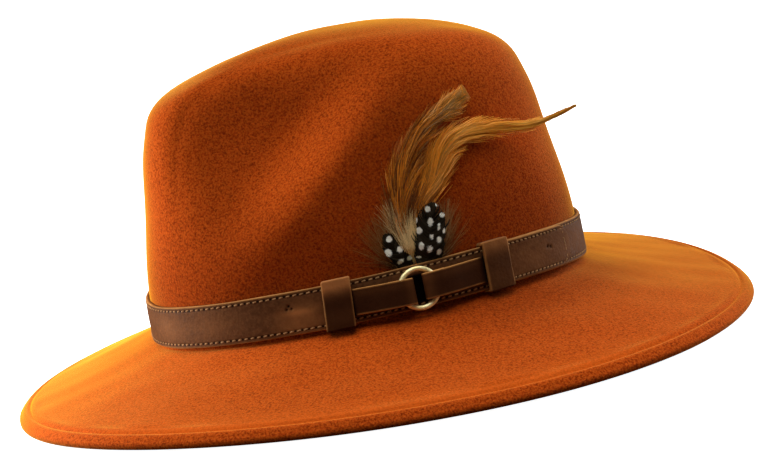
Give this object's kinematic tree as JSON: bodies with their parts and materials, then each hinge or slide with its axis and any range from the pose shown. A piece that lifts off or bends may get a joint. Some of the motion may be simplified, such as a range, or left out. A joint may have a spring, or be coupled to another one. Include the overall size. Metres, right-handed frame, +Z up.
{
  "type": "felt hat",
  "caption": "Wide-brimmed felt hat with a pinched, round-topped crown, a stitched leather band, two leather loops, a ring, and a bunch of feathers on one side.",
  "frame": {"origin": "middle of the brim's length and width, on the surface that the brim rests on", "axes": "+X to the back of the hat, -Y to the side with the ring and feathers, +Z up"},
  "size_m": [0.3574, 0.3182, 0.1557],
  "materials": {
    "felt": "matt wool felt",
    "leather": "worn brown leather",
    "brass": "polished",
    "spotted_feather": "black with pale spots",
    "golden_feather": "glossy golden brown",
    "brown_down": "fluffy brown"
  },
  "bodies": {
    "root": {"felt_body": "felt", "band_strap": "leather", "strap_end": "leather", "keeper_front": "leather", "keeper_rear": "leather", "tab_front": "leather", "tab_rear": "leather", "ring": "brass", "guinea_feather_front": "spotted_feather", "guinea_feather_rear": "spotted_feather", "hackle_upright": "golden_feather", "hackle_swept": "golden_feather", "feather_down": "brown_down"}
  },
  "joints": []
}
